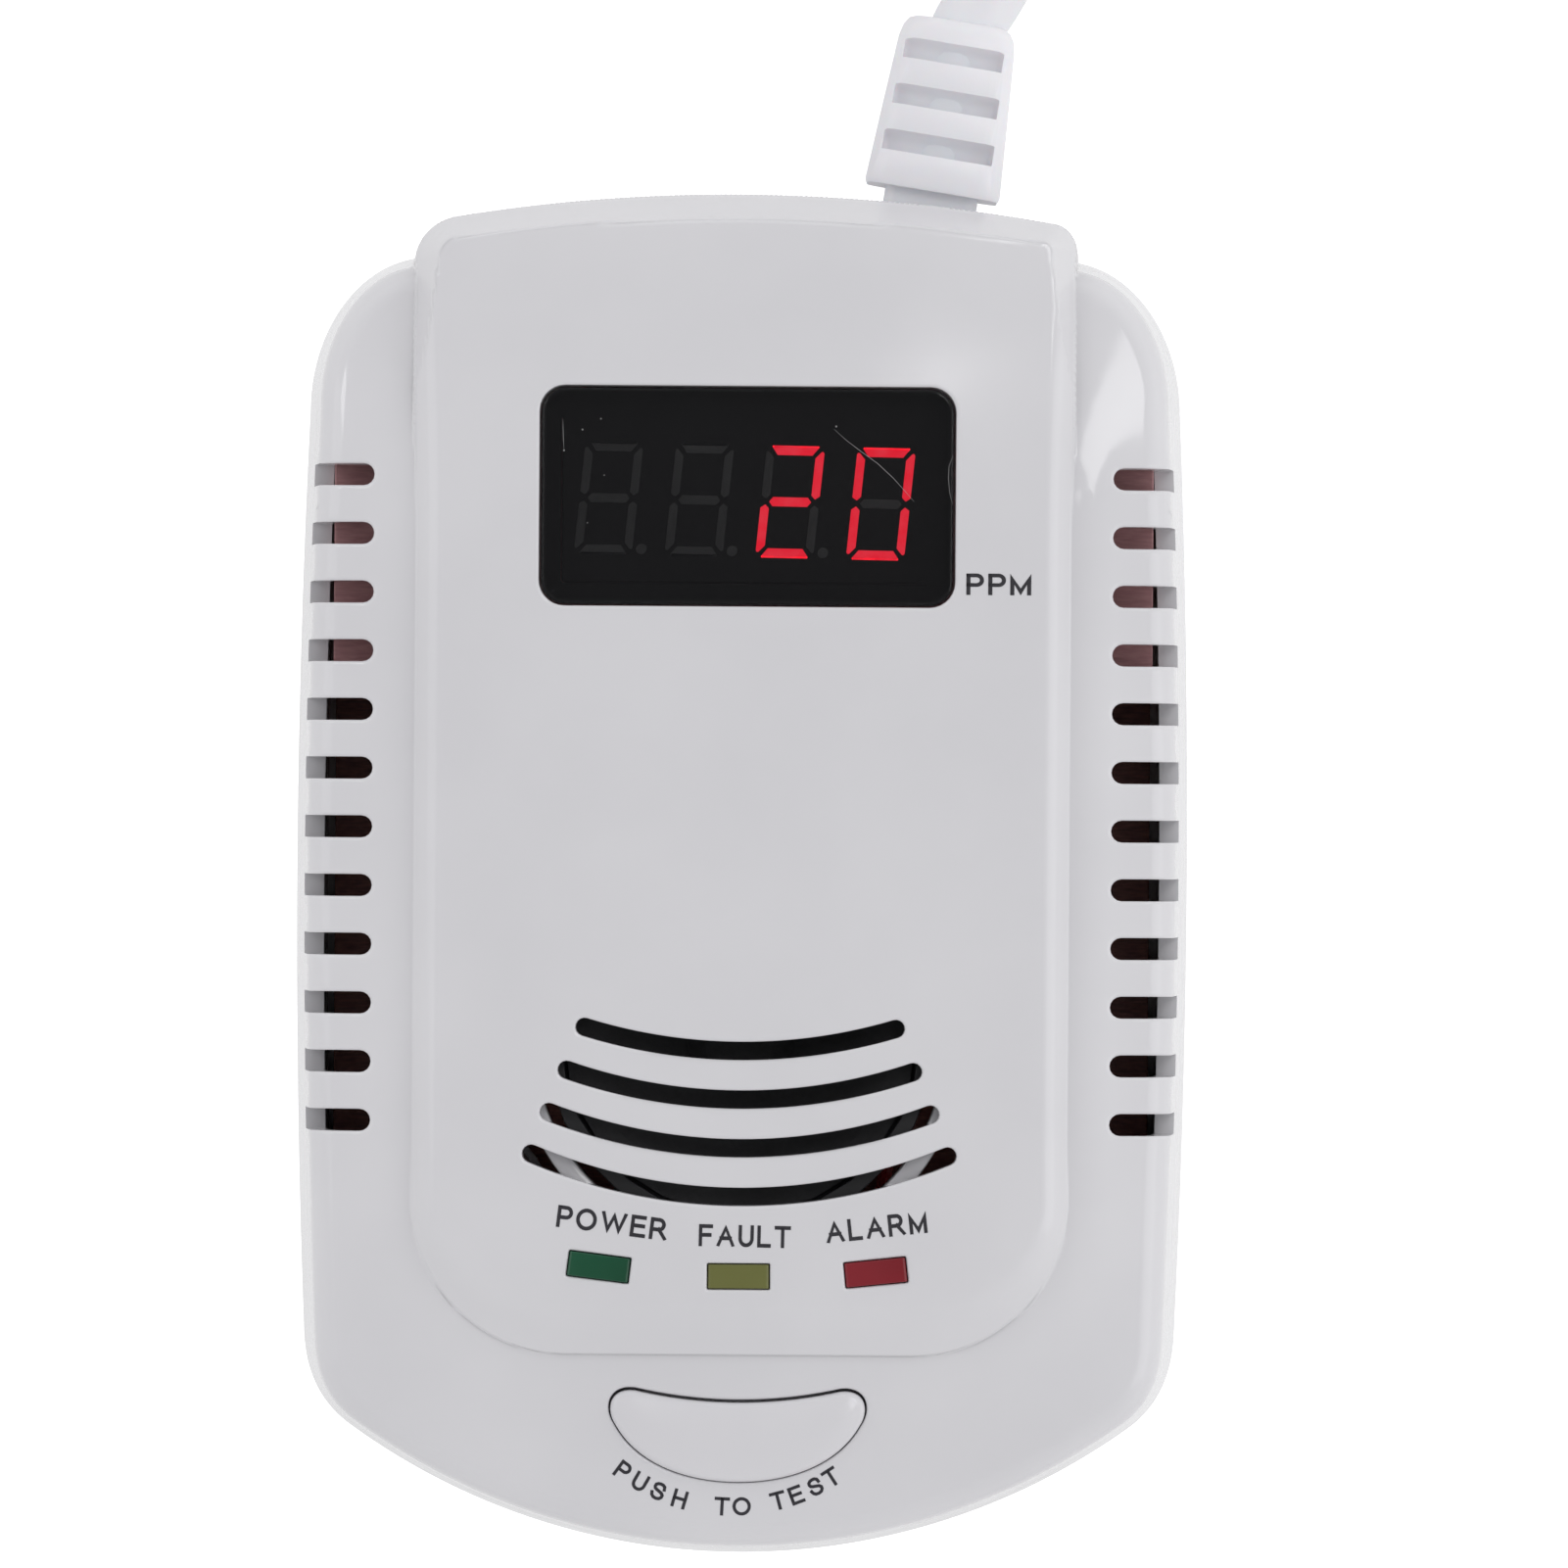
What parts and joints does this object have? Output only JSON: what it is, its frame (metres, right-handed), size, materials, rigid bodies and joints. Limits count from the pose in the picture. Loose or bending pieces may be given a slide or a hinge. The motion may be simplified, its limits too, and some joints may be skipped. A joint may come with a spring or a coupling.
{
  "type": "carbon monoxide detector",
  "caption": "Mains-powered wall-mounted carbon monoxide alarm: a vented two-part white case with a digital display, status lamps, sounder slots, a test button and a lead with a round-pin plug.",
  "frame": {"origin": "middle of the back face of the case, which lies on the wall or table", "axes": "+Z out of the front of the case, +Y towards its top end where the lead comes out, +X to the right seen from the front"},
  "size_m": [0.1027, 0.2637, 0.038],
  "materials": {
    "case_white": "light glossy white ABS with a very fine moulded surface",
    "button_white": "glossy white ABS",
    "smoked_window": "polished smoked acrylic",
    "display_face": "matt dark filter with pale digit segments",
    "brown_board": "brown phenolic circuit board",
    "green_led": "tinted diffused epoxy, unlit green",
    "amber_led": "tinted diffused epoxy, unlit olive yellow",
    "red_led": "tinted diffused epoxy, unlit red",
    "black_plastic": "black moulded plastic",
    "cone_paper": "black pressed paper",
    "steel": "zinc-plated steel",
    "nickel": "nickel-plated brass",
    "yellow_tape": "polyester winding tape",
    "blue_sleeve": "shrunk printed sleeve",
    "fuse_glass": "pale ceramic tube",
    "brown_wire": "brown insulated wire",
    "blue_wire": "blue insulated wire",
    "red_wire": "red insulated wire",
    "black_wire": "black insulated wire",
    "white_vinyl": "soft glossy white PVC",
    "tie": "black hook and loop strap"
  },
  "bodies": {
    "case": {"rear_case": "case_white", "front_case": "case_white", "case_screw_1": "steel", "case_screw_2": "steel", "case_screw_3": "steel", "case_screw_4": "steel", "display_window": "smoked_window", "display_module": "display_face", "display_board": "brown_board", "lamp_board": "brown_board", "main_board": "brown_board", "board_screw_1": "steel", "board_screw_2": "steel", "led_power": "green_led", "led_fault": "amber_led", "led_alarm": "red_led", "switch_body": "black_plastic", "speaker_frame": "black_plastic", "speaker_cone": "cone_paper", "speaker_magnet": "steel", "gas_sensor": "steel", "transformer": "yellow_tape", "capacitor_large": "blue_sleeve", "capacitor_small": "black_plastic", "fuse": "fuse_glass", "varistor": "blue_sleeve", "bridge_rectifier": "black_plastic", "microcontroller": "black_plastic", "display_header": "black_plastic", "lamp_header": "black_plastic", "mains_lead_live": "brown_wire", "mains_lead_neutral": "blue_wire", "speaker_lead_red": "red_wire", "speaker_lead_black": "black_wire", "strain_relief": "white_vinyl", "power_cord": "white_vinyl", "cord_tail": "white_vinyl", "cord_coil": "white_vinyl", "cord_tie": "tie", "plug_body": "white_vinyl", "plug_pin_1": "nickel", "plug_pin_2": "nickel"},
    "button": {"test_button": "button_white"},
    "plunger": {"switch_plunger": "black_plastic"}
  },
  "joints": [
    {"name": "button_press", "type": "slide", "parent": "case", "child": "button", "axis": [0, 0, -1], "range_m": [0, 0.0005], "stiffness_N_per_m": 400, "springref_m": -0.0005},
    {"name": "plunger_press", "type": "slide", "parent": "case", "child": "plunger", "axis": [0, 0, -1], "range_m": [0, 0.0005], "stiffness_N_per_m": 200, "springref_m": -0.0005}
  ],
  "couplings": [
    {"joint": "plunger_press", "follows": "button_press", "ratio": 1}
  ]
}
